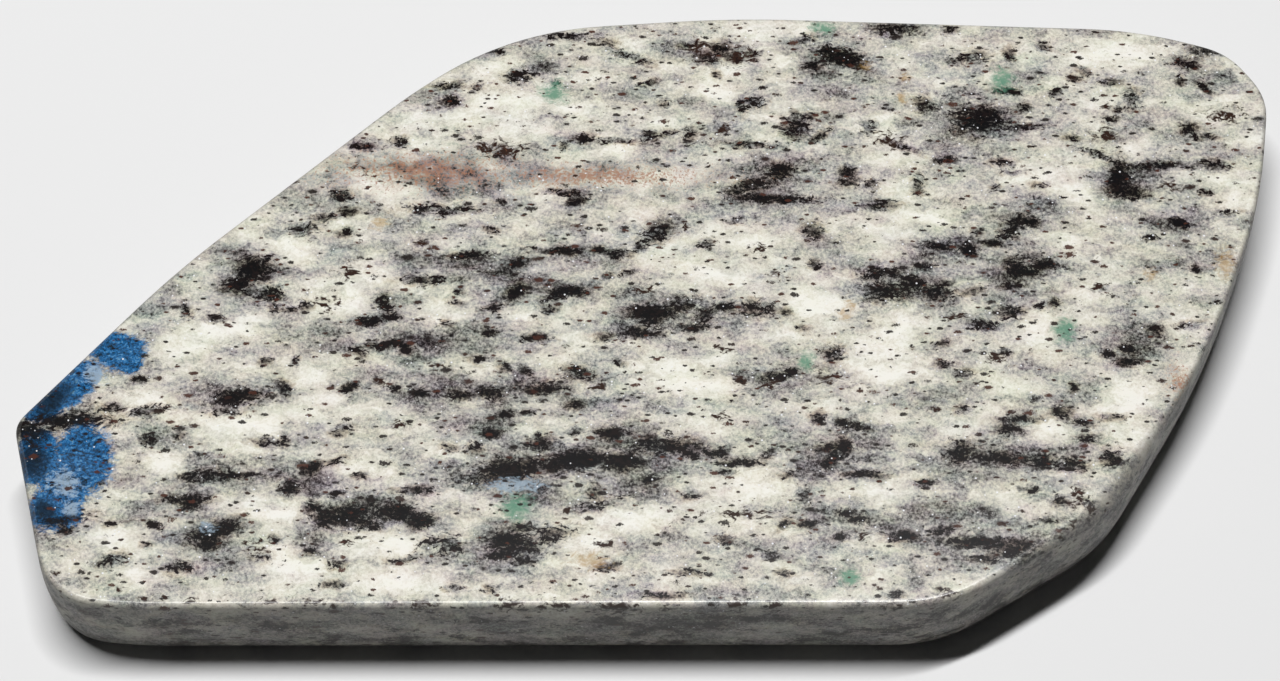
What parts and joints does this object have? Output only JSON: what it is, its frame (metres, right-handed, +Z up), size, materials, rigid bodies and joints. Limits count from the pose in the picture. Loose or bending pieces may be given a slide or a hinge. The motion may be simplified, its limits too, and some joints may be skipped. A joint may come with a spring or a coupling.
{
  "type": "azurite in granite specimen",
  "caption": "Hand-polished freeform slab of foliated grey and white granite with blue azurite at one end and green malachite spots, lying on its flat underside.",
  "frame": {"origin": "on the resting face, under the middle of the outline's box", "axes": "+Z up out of the polished face, X along the slab's long way with the azurite end at -X, Y across it"},
  "size_m": [0.0638, 0.0348, 0.0052],
  "materials": {
    "polished_granite": "white and grey foliated biotite granite, hand-polished to a satin gloss, with azurite and malachite stains"
  },
  "bodies": {
    "root": {"granite_slab": "polished_granite"}
  },
  "joints": []
}
